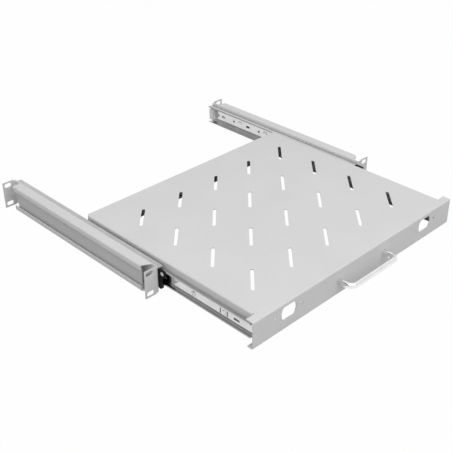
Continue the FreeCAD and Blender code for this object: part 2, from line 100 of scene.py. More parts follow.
class NodeBench:
    """Lays out a finish's shader nodes between object coordinates and the surface."""

    def __init__(self, name: str) -> None:
        """Start an empty material with its surface shader.

        Args:
            name: Name of the material.
        """
        self.material = bpy.data.materials.new(name)
        self.material.use_nodes = True
        self.tree = self.material.node_tree
        self.tree.nodes.clear()
        self.surface = self.add("ShaderNodeBsdfPrincipled")
        output = self.add("ShaderNodeOutputMaterial")
        self.wire(self.surface.outputs["BSDF"], output.inputs["Surface"])
        self.place = self.add("ShaderNodeTexCoord").outputs["Object"]

    def add(self, kind: str) -> bpy.types.ShaderNode:
        """Put a node of that kind in the tree."""
        return self.tree.nodes.new(kind)

    def wire(self, start: Socket, end: Socket) -> None:
        """Link an output to an input."""
        self.tree.links.new(start, end)

    def set(self, **values: float | Sequence[float]) -> None:
        """Set the surface shader's own sockets.

        Args:
            values: Socket names with underscores for spaces, and their values.
        """
        for name, value in values.items():
            self.surface.inputs[name.replace("_", " ")].default_value = value

    def stretched(self, scale: Point) -> Socket:
        """Object coordinates scaled by axis.

        Args:
            scale: Factor along each axis.

        Returns:
            The scaled coordinates.
        """
        mapping = self.add("ShaderNodeMapping")
        mapping.inputs["Scale"].default_value = scale
        self.wire(self.place, mapping.inputs["Vector"])
        return mapping.outputs["Vector"]

    def noise(self, scale: float, detail: float, place: Socket | None = None) -> Socket:
        """Cloudy noise over the surface.

        Args:
            scale: Features per metre.
            detail: Number of finer octaves.
            place: Coordinates to read, the object's own if left out.

        Returns:
            The noise value, about 0.3 to 0.7.
        """
        node = self.add("ShaderNodeTexNoise")
        node.inputs["Scale"].default_value = scale
        node.inputs["Detail"].default_value = detail
        self.wire(place or self.place, node.inputs["Vector"])
        return node.outputs["Fac"]

    def spread(
        self, value: Socket, low: float, high: float, start: float = 0.3, stop: float = 0.7
    ) -> Socket:
        """Spread a value over a range.

        Args:
            value: The value to spread.
            low: Result at start.
            high: Result at stop.
            start: Lower end of the value.
            stop: Upper end of the value.

        Returns:
            The spread value.
        """
        node = self.add("ShaderNodeMapRange")
        self.wire(value, node.inputs["Value"])
        node.inputs["From Min"].default_value = start
        node.inputs["From Max"].default_value = stop
        node.inputs["To Min"].default_value = low
        node.inputs["To Max"].default_value = high
        return node.outputs["Result"]

    def blend(self, value: Socket, dark: Colour, light: Colour) -> Socket:
        """Colour between two tones by a value.

        Args:
            value: 0 for dark, 1 for light.
            dark: Colour at 0.
            light: Colour at 1.

        Returns:
            The blended colour.
        """
        node = self.add("ShaderNodeValToRGB")
        node.color_ramp.elements[0].color = (*dark, 1.0)
        node.color_ramp.elements[1].color = (*light, 1.0)
        self.wire(value, node.inputs["Fac"])
        return node.outputs["Color"]

    def bump(self, height: Socket, depth: float) -> Socket:
        """Fine relief from a height.

        Args:
            height: Height between 0 and 1.
            depth: Depth of the relief in metres.

        Returns:
            The disturbed normal.
        """
        node = self.add("ShaderNodeBump")
        node.inputs["Distance"].default_value = depth
        self.wire(height, node.inputs["Height"])
        return node.outputs["Normal"]

    def dress(self, colour: Socket, roughness: Socket, normal: Socket) -> bpy.types.Material:
        """Join the finish to the surface shader.

        Args:
            colour: Base colour.
            roughness: Roughness.
            normal: Normal with the fine relief.

        Returns:
            The material.
        """
        self.wire(colour, self.surface.inputs["Base Color"])
        self.wire(roughness, self.surface.inputs["Roughness"])
        self.wire(normal, self.surface.inputs["Normal"])
        return self.material


@dataclass(frozen=True)
class PowderCoat:
    """Light grey powder coat: faint clouding, fine speckle and an orange-peel surface."""

    name: str = "grey_powder_coat"
    dark: Colour = (0.66, 0.66, 0.66)
    light: Colour = (0.71, 0.71, 0.71)
    gloss: float = 0.35
    cloud_scale: float = 14.0
    cloud_detail: float = 4.0
    cloud_share: float = 0.6
    speckle_scale: float = 1500.0
    speckle_share: float = 0.4
    tone_start: float = 0.25
    tone_stop: float = 0.75
    patch_scale: float = 70.0
    patch_detail: float = 3.0
    rough_low: float = 0.42
    rough_high: float = 0.54
    peel_scale: float = 900.0
    peel_depth: float = 0.012 * MM
    fine_detail: float = 2.0

    def build(self) -> bpy.types.Material:
        """Make the material.

        Returns:
            The powder coat.
        """
        bench = NodeBench(self.name)
        bench.set(Metallic=0.0, Specular_IOR_Level=self.gloss)
        cloud = bench.noise(self.cloud_scale, self.cloud_detail)
        speckle = bench.noise(self.speckle_scale, self.fine_detail)
        mixed = bench.add("ShaderNodeMath")
        mixed.operation = "MULTIPLY_ADD"
        mixed.inputs[1].default_value = self.cloud_share
        bench.wire(cloud, mixed.inputs[0])
        bench.wire(bench.spread(speckle, 0.0, self.speckle_share), mixed.inputs[2])
        tone = bench.spread(mixed.outputs[0], 0.0, 1.0, self.tone_start, self.tone_stop)
        patches = bench.noise(self.patch_scale, self.patch_detail)
        roughness = bench.spread(patches, self.rough_low, self.rough_high)
        peel = bench.noise(self.peel_scale, self.fine_detail)
        colour = bench.blend(tone, self.dark, self.light)
        return bench.dress(colour, roughness, bench.bump(peel, self.peel_depth))


@dataclass(frozen=True)
class RolledZinc:
    """Bright zinc on roll-formed steel, with drawing lines along the slide."""

    name: str = "bright_zinc"
    dark: Colour = (0.62, 0.62, 0.63)
    light: Colour = (0.70, 0.70, 0.705)
    line_scale: Point = (500.0, 5.0, 500.0)
    line_detail: float = 3.0
    line_depth: float = 0.0008 * MM
    blotch_scale: float = 60.0
    blotch_detail: float = 4.0
    rough_low: float = 0.08
    rough_high: float = 0.15

    def build(self) -> bpy.types.Material:
        """Make the material.

        Returns:
            The zinc finish.
        """
        bench = NodeBench(self.name)
        bench.set(Metallic=1.0)
        lines = bench.noise(1.0, self.line_detail, bench.stretched(self.line_scale))
        blotch = bench.noise(self.blotch_scale, self.blotch_detail)
        colour = bench.blend(bench.spread(blotch, 0.0, 1.0), self.dark, self.light)
        roughness = bench.spread(lines, self.rough_low, self.rough_high)
        return bench.dress(colour, roughness, bench.bump(lines, self.line_depth))


@dataclass(frozen=True)
class PolishedMetal:
    """Smooth metal with faint smears: chrome, bearing balls and zinc-plated fasteners."""

    name: str
    dark: Colour
    light: Colour
    smear_scale: float
    rough_low: float
    rough_high: float
    relief_scale: float
    relief_depth: float
    smear_detail: float = 5.0
    relief_detail: float = 2.0

    def build(self) -> bpy.types.Material:
        """Make the material.

        Returns:
            The metal finish.
        """
        bench = NodeBench(self.name)
        bench.set(Metallic=1.0)
        smear = bench.noise(self.smear_scale, self.smear_detail)
        colour = bench.blend(bench.spread(smear, 0.0, 1.0), self.dark, self.light)
        roughness = bench.spread(smear, self.rough_low, self.rough_high)
        relief = bench.noise(self.relief_scale, self.relief_detail)
        return bench.dress(colour, roughness, bench.bump(relief, self.relief_depth))


@dataclass(frozen=True)
class MouldedPlastic:
    """Moulded plastic with a spark-eroded grain and faint scuffs."""

    name: str
    dark: Colour
    light: Colour
    grain_scale: float = 3200.0
    grain_detail: float = 1.0
    grain_depth: float = 0.03 * MM
    scuff_scale: float = 260.0
    scuff_detail: float = 5.0
    rough_low: float = 0.42
    rough_high: float = 0.62
    gloss: float = 0.4

    def build(self) -> bpy.types.Material:
        """Make the material.

        Returns:
            The plastic finish.
        """
        bench = NodeBench(self.name)
        bench.set(Specular_IOR_Level=self.gloss)
        scuff = bench.noise(self.scuff_scale, self.scuff_detail)
        colour = bench.blend(bench.spread(scuff, 0.0, 1.0), self.dark, self.light)
        roughness = bench.spread(scuff, self.rough_high, self.rough_low)
        grain = bench.noise(self.grain_scale, self.grain_detail)
        return bench.dress(colour, roughness, bench.bump(grain, self.grain_depth))


class Finishes:
    """The set of finishes, each made once and looked up by its slot."""

    def __init__(self) -> None:
        """Make every finish of the shelf."""
        cage = RolledZinc(
            name="cage_zinc",
            dark=(0.42, 0.42, 0.43),
            light=(0.52, 0.52, 0.53),
            rough_low=0.18,
            rough_high=0.28,
        )
        chrome = PolishedMetal(
            name="bright_chrome",
            dark=(0.80, 0.80, 0.81),
            light=(0.88, 0.88, 0.89),
            smear_scale=120.0,
            rough_low=0.04,
            rough_high=0.10,
            relief_scale=900.0,
            relief_depth=0.002 * MM,
        )
        ball = PolishedMetal(
            name="bearing_steel",
            dark=(0.50, 0.50, 0.51),
            light=(0.62, 0.62, 0.63),
            smear_scale=700.0,
            rough_low=0.06,
            rough_high=0.14,
            relief_scale=4000.0,
            relief_depth=0.001 * MM,
        )
        fastener = PolishedMetal(
            name="fastener_zinc",
            dark=(0.48, 0.48, 0.49),
            light=(0.66, 0.66, 0.67),
            smear_scale=420.0,
            rough_low=0.22,
            rough_high=0.38,
            relief_scale=2600.0,
            relief_depth=0.006 * MM,
        )
        # Near-white, rough plating for the mouth pin: real nickel plating brightened into a
        # painted glint.
        pin = PolishedMetal(
            name="pin_nickel_and_glint",
            dark=(0.88, 0.88, 0.88),
            light=(0.95, 0.95, 0.95),
            smear_scale=500.0,
            rough_low=0.45,
            rough_high=0.58,
            relief_scale=2400.0,
            relief_depth=0.004 * MM,
        )
        # The cover strip's coat is darker than the other grey paint: painted shade for its recess
        # behind the channel lips.
        cover = PowderCoat(
            name="cover_powder_coat_painted_shade", dark=(0.525, 0.525, 0.525), light=(0.575, 0.575, 0.575)
        )
        black = MouldedPlastic(
            name="black_plastic",
            dark=(0.004, 0.004, 0.004),
            light=(0.010, 0.010, 0.010),
            gloss=0.15,
        )
        white = MouldedPlastic(
            name="white_plastic", dark=(0.78, 0.78, 0.77), light=(0.86, 0.86, 0.85)
        )
        makers = {
            Slot.PAINT: PowderCoat(),
            Slot.ZINC: RolledZinc(),
            Slot.CAGE: cage,
            Slot.BALL: ball,
            Slot.FASTENER: fastener,
            Slot.PLASTIC: black,
            Slot.WHITE: white,
            Slot.CHROME: chrome,
        }
        self.materials = {slot: maker.build() for slot, maker in makers.items()}
        self.cover_coat_painted_shade = cover.build()
        self.pin_plating_and_glint = pin.build()

    def of(self, slot: Slot) -> bpy.types.Material:
        """Material for a slot."""
        return self.materials[slot]


class Workpiece:
    """A mesh being made, in metres in the model's frame."""

    def __init__(self) -> None:
        """Start with an empty mesh."""
        self.bm = bmesh.new()

    @classmethod
    def from_node(cls, node: str) -> "Workpiece":
        """Take a copy of a formed part, with its triangles joined into whole faces.

        Args:
            node: Name of the part.

        Returns:
            The copy.
        """
        piece = cls()
        piece.bm.from_mesh(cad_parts[node].data)
        bmesh.ops.remove_doubles(piece.bm, verts=piece.bm.verts[:], dist=MERGE)
        bmesh.ops.dissolve_limit(
            piece.bm,
            angle_limit=COPLANAR,
            verts=piece.bm.verts[:],
            edges=piece.bm.edges[:],
            delimit=set(),
        )
        return piece

    def soften(self, width: float, segments: int = 2, sharper_than: float = 50.0) -> None:
        """Round the sharp outer edges.

        Args:
            width: Width of the rounding.
            segments: Number of facets over it.
            sharper_than: Least turn of an edge that is rounded, in degrees.
        """
        limit = math.radians(sharper_than)
        edges = [
            edge
            for edge in self.bm.edges
            if len(edge.link_faces) == 2 and edge.calc_face_angle_signed(0.0) > limit
        ]
        bmesh.ops.bevel(
            self.bm,
            geom=edges,
            offset=width,
            offset_type="OFFSET",
            affect="EDGES",
            segments=segments,
            profile=0.5,
            material=-1,
            clamp_overlap=False,
        )

    def trim(self, place: Point, beyond: Point) -> None:
        """Cut the mesh off flat and close the cut.

        Args:
            place: Point on the cut.
            beyond: Way to the side that comes off.
        """
        whole = self.bm.verts[:] + self.bm.edges[:] + self.bm.faces[:]
        cut = bmesh.ops.bisect_plane(
            self.bm, geom=whole, dist=MERGE, plane_co=place, plane_no=beyond, clear_outer=True
        )["geom_cut"]
        edges = [part for part in cut if isinstance(part, bmesh.types.BMEdge)]
        bmesh.ops.holes_fill(self.bm, edges=edges, sides=0)

    def ring(self, radius: float, height: float, count: int, at: Matrix) -> Loop:
        """Make a loop of edges round the local Z axis.

        Args:
            radius: Radius of the loop.
            height: Place along the local axis.
            count: Number of edges.
            at: Local frame.

        Returns:
            The loop's edges.
        """
        place = at @ Matrix.Translation((0.0, 0.0, height))
        made = bmesh.ops.create_circle(
            self.bm, cap_ends=False, radius=radius, segments=count, matrix=place
        )
        return list({edge for vert in made["verts"] for edge in vert.link_edges})

    def skin(self, loops: Sequence[Loop], close: bool = False) -> None:
        """Join loops in order with faces.

        Args:
            loops: The loops to join.
            close: Whether the last loop joins the first.
        """
        pairs = list(zip(loops, loops[1:]))
        if close:
            pairs.append((loops[-1], loops[0]))
        for first, second in pairs:
            bmesh.ops.bridge_loops(self.bm, edges=first + second)

    def cap(self, loop: Loop) -> None:
        """Close a loop with one face."""
        bmesh.ops.contextual_create(self.bm, geom=loop)

    def turned(self, profile: Sequence[tuple[float, float]], at: Matrix, count: int = 32) -> None:
        """Turn a profile round the local Z axis.

        Args:
            profile: Radius and height of each point.
            at: Local frame.
            count: Number of facets round the axis.
        """
        points = [at @ Vector((radius, 0.0, height)) for radius, height in profile]
        verts = [self.bm.verts.new(point) for point in points]
        edges = [self.bm.edges.new(pair) for pair in zip(verts, verts[1:])]
        bmesh.ops.spin(
            self.bm,
            geom=verts + edges,
            cent=at.translation,
            axis=at.to_3x3() @ Vector((0.0, 0.0, 1.0)),
            angle=math.tau,
            steps=count,
            use_merge=True,
        )

    def settle(self) -> None:
        """Merge doubles and point every face outwards."""
        bmesh.ops.remove_doubles(self.bm, verts=self.bm.verts[:], dist=MERGE)
        bmesh.ops.recalc_face_normals(self.bm, faces=self.bm.faces[:])

    def finish(
        self,
        name: str,
        body: str,
        slot: Slot,
        finishes: Finishes,
        nodes: Iterable[str],
        coat: bpy.types.Material | None = None,
    ) -> bpy.types.Object:
        """Turn the mesh into a piece that rides on its body.

        Args:
            name: Name of the piece.
            body: Body it rides on.
            slot: Material slot of its finish.
            finishes: Finishes to take it from.
            nodes: Plain parts that it stands for.
            coat: Material to use instead of the slot's usual one.

        Returns:
            The piece.
        """
        for face in self.bm.faces:
            face.smooth = True
        for edge in self.bm.edges:
            edge.smooth = len(edge.link_faces) == 2 and edge.calc_face_angle(0.0) < CREASE
        mesh = bpy.data.meshes.new(name)
        self.bm.to_mesh(mesh)
        self.bm.free()
        mesh.materials.append(coat or finishes.of(slot))
        piece = bpy.data.objects.new(name, mesh)
        bpy.context.scene.collection.objects.link(piece)
        even = piece.modifiers.new("even_normals", "WEIGHTED_NORMAL")
        even.keep_sharp = True
        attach(piece, body)
        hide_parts(*nodes)
        LOG.info("%s: %d faces on %s", name, len(mesh.polygons), body)
        return piece


@dataclass(frozen=True)
class CrossRecess:
    """Cross recess of a screw head."""

    arm: float = 1.5 * MM
    width: float = 0.42 * MM
    depth: float = 1.0 * MM
    taper: float = 0.6
    grid_middle: float = 0.5

    def cut(self, piece: Workpiece, rim: Loop, height: float, at: Matrix) -> None:
        """Fill the open top of a head with the recess.

        Args:
            piece: The screw.
            rim: Open loop at the top of the head.
            height: Height of the loop.
            at: Local frame of the screw.
        """
        bm = piece.bm
        inner = at @ Matrix.Translation((0.0, 0.0, height))
        made = bmesh.ops.create_grid(
            bm, x_segments=3, y_segments=3, size=1.0, matrix=Matrix.Identity(4)
        )
        for vert in made["verts"]:
            for axis in (0, 1):
                near = abs(vert.co[axis]) < self.grid_middle
                vert.co[axis] = math.copysign(self.width if near else self.arm, vert.co[axis])
        corners = [
            face
            for face in {f for v in made["verts"] for f in v.link_faces}
            if min(abs(c) for c in face.calc_center_median()[:2]) > self.width
        ]
        bmesh.ops.delete(bm, geom=corners, context="FACES")
        verts = [v for v in made["verts"] if v.is_valid]
        floor = list({f for v in verts for f in v.link_faces})
        bmesh.ops.transform(bm, matrix=inner, verts=verts)
        edge = [e for e in {e for f in floor for e in f.edges} if len(e.link_faces) == 1]
        sunk = bmesh.ops.extrude_face_region(bm, geom=floor)["geom"]
        low = [v for v in sunk if isinstance(v, bmesh.types.BMVert)]
        bmesh.ops.scale(bm, vec=(self.taper,) * 3, space=inner.inverted(), verts=low)
        bmesh.ops.translate(bm, vec=at.to_3x3() @ Vector((0.0, 0.0, -self.depth)), verts=low)
        bmesh.ops.delete(bm, geom=[f for f in floor if f.is_valid], context="FACES_ONLY")
        piece.skin([rim, [e for e in edge if e.is_valid]])


@dataclass(frozen=True)
class PanScrew:
    """Pan-head screw with a cross recess."""

    head_radius: float
    head_height: float
    shank_radius: float
    shank_length: float
    recess: CrossRecess = CrossRecess()
    count: int = 24
    point: float = 0.3
    dome: Shares = ((1.0, 0.45), (0.94, 0.68), (0.80, 0.88), (0.60, 1.0))

    def add_to(self, piece: Workpiece, at: Matrix) -> None:
        """Put the screw in a piece.

        Args:
            piece: Piece to add to.
            at: Frame with the seat at its origin and the head along its Z axis.
        """
        shape = [
            (self.shank_radius * (1.0 - self.point), -self.shank_length),
            (self.shank_radius, -self.shank_length + self.shank_radius * self.point),
            (self.shank_radius, 0.0),
            (self.head_radius, 0.0),
        ]
        shape += [(self.head_radius * out, self.head_height * up) for out, up in self.dome]
        loops = [piece.ring(radius, height, self.count, at) for radius, height in shape]
        piece.cap(loops[0])
        piece.skin(loops)
        self.recess.cut(piece, loops[-1], self.head_height, at)


@dataclass(frozen=True)
class DomedRivet:
    """Domed rivet with its shank."""

    head_radius: float
    head_height: float
    shank_radius: float
    shank_length: float
    dome: tuple[float, ...] = (0.3, 0.55, 0.75, 0.9, 0.98)

    def add_to(self, piece: Workpiece, at: Matrix) -> None:
        """Put the rivet in a piece.

        Args:
            piece: Piece to add to.
            at: Frame with the seat at its origin and the head along its Z axis.
        """
        profile = [(0.0, self.head_height)]
        for out in self.dome:
            up = math.sqrt(1.0 - out * out)
            profile.append((self.head_radius * out, self.head_height * up))
        profile += [
            (self.head_radius, 0.0),
            (self.shank_radius, 0.0),
            (self.shank_radius, -self.shank_length),
            (0.0, -self.shank_length),
        ]
        piece.turned(profile, at)


@dataclass(frozen=True)
class FlangeNut:
    """Hexagon nut with a bearing flange and a bore."""

    flats: float
    height: float
    flange_radius: float
    flange_height: float
    bore_radius: float
    chamfer: float = 0.7 * MM
    count: int = 36
    corners: int = 6
    rim: Shares = ((0.97, 0.0), (1.0, 0.25), (1.0, 0.5))
    root: float = 1.03
    root_rise: float = 1.05
    bore_chamfer: float = 0.12

    def add_to(self, piece: Workpiece, at: Matrix) -> None:
        """Put the nut in a piece.

        Args:
            piece: Piece to add to.
            at: Frame with the bearing face at its origin and the nut along its Z axis.
        """
        corner = self.flats / math.sqrt(3.0)
        sunk = self.bore_radius * self.bore_chamfer
        shape = [(self.bore_radius, 0.0, self.count)]
        for out, up in self.rim:
            shape.append((self.flange_radius * out, self.flange_height * up, self.count))
        shape += [
            (corner * self.root, self.flange_height, self.count),
            (corner, self.flange_height * self.root_rise, self.corners),
            (corner, self.height - self.chamfer, self.corners),
            (self.flats / 2.0, self.height, self.count),
            (self.bore_radius + sunk, self.height, self.count),
            (self.bore_radius, self.height - sunk, self.count),
        ]
        loops = [piece.ring(radius, height, count, at) for radius, height, count in shape]
        piece.skin(loops, close=True)


@dataclass(frozen=True)
class ThreadedStud:
    """Pressed-in stud with a flush head and a rolled thread."""

    head_radius: float
    head_height: float
    radius: float
    length: float
    pitch: float = 0.8 * MM
    thread_depth: float = 0.45 * MM
    steps: int = 24
    point: float = 0.8
    point_length: float = 0.4
    sunk: float = 0.96
    crest: tuple[float, float] = (0.42, 0.58)

    def add_to(self, piece: Workpiece, at: Matrix) -> None:
        """Put the stud in a piece.

        Args:
            piece: Piece to add to.
            at: Frame with the head's outer face at its origin and the thread along its Z axis.
        """
        axis = at.to_3x3() @ Vector((0.0, 0.0, 1.0))
        root = self.radius - self.thread_depth
        core = [
            (0.0, 0.0),
            (self.head_radius, 0.0),
            (self.head_radius, self.head_height),
            (root, self.head_height),
            (root, self.length - self.pitch * self.point_length),
            (root * self.point, self.length),
            (0.0, self.length),
        ]
        piece.turned(core, at, self.steps)
        start = self.head_height
        turns = int((self.length - start) / self.pitch) - 1
        foot = root * self.sunk
        flank = [(foot, 0.0), *((self.radius, up) for up in self.crest), (foot, 1.0)]
        points = [at @ Vector((out, 0.0, start + up * self.pitch)) for out, up in flank]
        verts = [piece.bm.verts.new(point) for point in points]
        edges = [piece.bm.edges.new(pair) for pair in zip(verts, verts[1:])]
        edges.append(piece.bm.edges.new((verts[-1], verts[0])))
        first = piece.bm.faces.new(verts)
        bmesh.ops.spin(
            piece.bm,
            geom=[first, *edges, *verts],
            cent=at.translation,
            axis=axis,
            dvec=axis * (self.pitch / self.steps),
            angle=math.tau * turns,
            steps=self.steps * turns,
        )


Fastener = PanScrew | DomedRivet | FlangeNut | ThreadedStud


@dataclass
class ShelfTray:
    """The folded shelf with its vents, front panel and return flanges."""

    finishes: Finishes
    edge: float = 0.3 * MM

    def build(self) -> list[bpy.types.Object]:
        """Make the shelf.

        Returns:
            The shelf's pieces.
        """
        piece = Workpiece.from_node("tray")
        piece.soften(self.edge)
        shelf = piece.finish(
            "folded_shelf", Bodies.SHELF.value, Slot.PAINT, self.finishes, ["tray"]
        )
        return [shelf]


@dataclass
class BarHandle:
    """Bent chrome bar on the front panel, with its two screws."""

    finishes: Finishes
    half_pitch: float = 50.0 * MM
    height: float = 2.0 * MM
    panel_y: float = -177.0 * MM
    bar_y: float = -199.5 * MM
    radius: float = 4.5 * MM
    bend: float = 9.0 * MM
    facets: int = 40
    bend_steps: int = 12
    end_round: float = 0.4 * MM
    screw_seat: float = -175.5 * MM
    screw: PanScrew = PanScrew(
        head_radius=4.4 * MM, head_height=2.4 * MM, shank_radius=1.95 * MM, shank_length=1.4 * MM
    )

    def build(self) -> list[bpy.types.Object]:
        """Make the handle and its screws.

        Returns:
            The handle's pieces.
        """
        return [self.make_bar(), self.make_screws()]

    def make_bar(self) -> bpy.types.Object:
        """Sweep the round bar along its legs, bends and grip.

        Returns:
            The bar.
        """
        piece = Workpiece()
        bm = piece.bm
        at = self.foot(-self.half_pitch)
        rim = piece.ring(self.radius - self.end_round, 0.0, self.facets, at)
        shoulder = piece.ring(self.radius, self.end_round, self.facets, at)
        piece.cap(rim)
        piece.skin([rim, shoulder])
        leg_end = self.bar_y + self.bend
        leg = leg_end - self.panel_y + self.end_round
        grip = 2.0 * (self.half_pitch - self.bend)
        loop = self.carry(bm, shoulder, Vector((0.0, leg, 0.0)))
        centre = Vector((-self.half_pitch + self.bend, leg_end, self.height))
        loop = self.swing(bm, loop, centre)
        loop = self.carry(bm, loop, Vector((grip, 0.0, 0.0)))
        centre = Vector((self.half_pitch - self.bend, leg_end, self.height))
        loop = self.swing(bm, loop, centre)
        loop = self.carry(bm, loop, Vector((0.0, -leg, 0.0)))
        rim = piece.ring(
            self.radius - self.end_round, 0.0, self.facets, self.foot(self.half_pitch)
        )
        piece.skin([loop, rim])
        piece.cap(rim)
        piece.settle()
        return piece.finish(
            "chrome_bar", Bodies.SHELF.value, Slot.CHROME, self.finishes, ["handle"]
        )

    def foot(self, x: float) -> Matrix:
        """Frame at a leg's foot, facing away from the panel."""
        place = Matrix.Translation((x, self.panel_y, self.height))
        return place @ Matrix.Rotation(QUARTER, 4, "X")

    @staticmethod
    def carry(bm: bmesh.types.BMesh, loop: Loop, move: Vector) -> Loop:
        """Draw a loop straight.

        Args:
            bm: Mesh of the bar.
            loop: Open end of the bar.
            move: Way to draw it.

        Returns:
            The new open end.
        """
        made = bmesh.ops.extrude_edge_only(bm, edges=loop)["geom"]
        verts = [part for part in made if isinstance(part, bmesh.types.BMVert)]
        edges = [part for part in made if isinstance(part, bmesh.types.BMEdge)]
        bmesh.ops.translate(bm, vec=move, verts=verts)
        return [edge for edge in edges if len(edge.link_faces) == 1]

    def swing(self, bm: bmesh.types.BMesh, loop: Loop, centre: Vector) -> Loop:
        """Draw a loop round a quarter bend, about the upright axis.

        Args:
            bm: Mesh of the bar.
            loop: Open end of the bar.
            centre: Centre of the bend.

        Returns:
            The new open end.
        """
        made = bmesh.ops.spin(
            bm,
            geom=loop,
            cent=centre,
            axis=(0.0, 0.0, 1.0),
            angle=QUARTER,
            steps=self.bend_steps,
            use_merge=False,
        )["geom_last"]
        return [part for part in made if isinstance(part, bmesh.types.BMEdge)]

    def make_screws(self) -> bpy.types.Object:
        """Make the two screws behind the panel.

        Returns:
            The screws.
        """
        piece = Workpiece()
        for x in (-self.half_pitch, self.half_pitch):
            place = Matrix.Translation((x, self.screw_seat, self.height))
            self.screw.add_to(piece, place @ Matrix.Rotation(-QUARTER, 4, "X"))
        piece.settle()
        return piece.finish(
            "bar_screws", Bodies.SHELF.value, Slot.FASTENER, self.finishes, ["handle_screws"]
        )


@dataclass
class SideAssembly:
    """Sub-assembly of one side, whose parts and pieces end in the side's name."""

    side: Side
    finishes: Finishes

    def seat(self, x: float, y: float, z: float, outwards: bool) -> Matrix:
        """Local frame of a fastener's seat, with its Z axis along X.

        Args:
            x: Distance from the middle.
            y: Place along the depth.
            z: Height.
            outwards: Whether the axis points away from the middle.

        Returns:
            The frame.
        """
        sign = self.side.value if outwards else -self.side.value
        place = Matrix.Translation((self.side.x(x), y, z))
        return place @ Matrix.Rotation(sign * QUARTER, 4, "Y")

    def dress(
        self,
        node: str,
        name: str,
        body: str,
        slot: Slot,
        edge: float,
        cut: Cut | None = None,
        coat: bpy.types.Material | None = None,
    ) -> bpy.types.Object:
        """Dress one folded, rolled or moulded part.

        Args:
            node: Part without its side.
            name: Name of the piece without its side.
            body: Body it rides on.
            slot: Slot of its finish.
            edge: Width of the rounding on its edges.
            cut: Where an end comes off, if one does.
            coat: Material to use instead of the slot's usual one.

        Returns:
            The piece.
        """
        label = self.side.label
        piece = Workpiece.from_node(f"{node}_{label}")
        if cut is not None:
            piece.trim(*cut)
        piece.soften(edge)
        return piece.finish(
            f"{name}_{label}", body, slot, self.finishes, [f"{node}_{label}"], coat
        )

    def fasten(
        self,
        kind: Fastener,
        seats: Iterable[Matrix],
        node: str,
        name: str,
        body: str,
        coat: bpy.types.Material | None = None,
    ) -> bpy.types.Object:
        """Make a set of like fasteners.

        Args:
            kind: Fastener to make.
            seats: Local frame of each one.
            node: Part without its side.
            name: Name of the piece without its side.
            body: Body they ride on.
            coat: Material to use instead of the fasteners' usual one.

        Returns:
            The fasteners.
        """
        piece = Workpiece()
        for seat in seats:
            kind.add_to(piece, seat)
        piece.settle()
        label = self.side.label
        return piece.finish(
            f"{name}_{label}", body, Slot.FASTENER, self.finishes, [f"{node}_{label}"], coat
        )


@dataclass
class RackBracket(SideAssembly):
    """Front and rear bracket of one side, with the clamp studs and nuts between them."""

    edge: float = 0.3 * MM
    cover_front: float = 18.5 * MM
    stud_y: tuple[float, float] = (263.0 * MM, 302.0 * MM)
    stud_z: float = 1.0 * MM
    stud_x: float = 217.5 * MM
    nut_x: float = 220.75 * MM
    stud: ThreadedStud = ThreadedStud(
        head_radius=3.5 * MM, head_height=0.8 * MM, radius=2.5 * MM, length=9.75 * MM
    )
    nut: FlangeNut = FlangeNut(
        flats=8.0 * MM,
        height=5.0 * MM,
        flange_radius=5.5 * MM,
        flange_height=1.2 * MM,
        bore_radius=2.5 * MM,
    )

    def build(self) -> list[bpy.types.Object]:
        """Make the bracket pair, its cover strip set back from the ear.

        Returns:
            The brackets' pieces.
        """
        fixed = Bodies.FRAME.value
        sliding = f"rear_{self.side.label}"
        paint = Slot.PAINT
        edge = self.edge
        # The cover strip takes the darker coat, whose darkness is painted shade of the recess
        # behind the lips.
        coat = self.finishes.cover_coat_painted_shade
        front_cut = ((0.0, self.cover_front, 0.0), (0.0, -1.0, 0.0))
        studs = [self.seat(self.stud_x, y, self.stud_z, True) for y in self.stud_y]
        nuts = [self.seat(self.nut_x, y, self.stud_z, True) for y in self.stud_y]
        return [
            self.dress("front_bracket", "front_channel", fixed, paint, edge),
            self.dress("cover_strip", "channel_cover", fixed, paint, edge, front_cut, coat),
            self.dress("rear_bracket", "rear_bar", sliding, paint, edge),
            self.fasten(self.stud, studs, "clamp_studs", "studs", fixed),
            self.fasten(self.nut, nuts, "clamp_nuts", "flange_nuts", fixed),
        ]


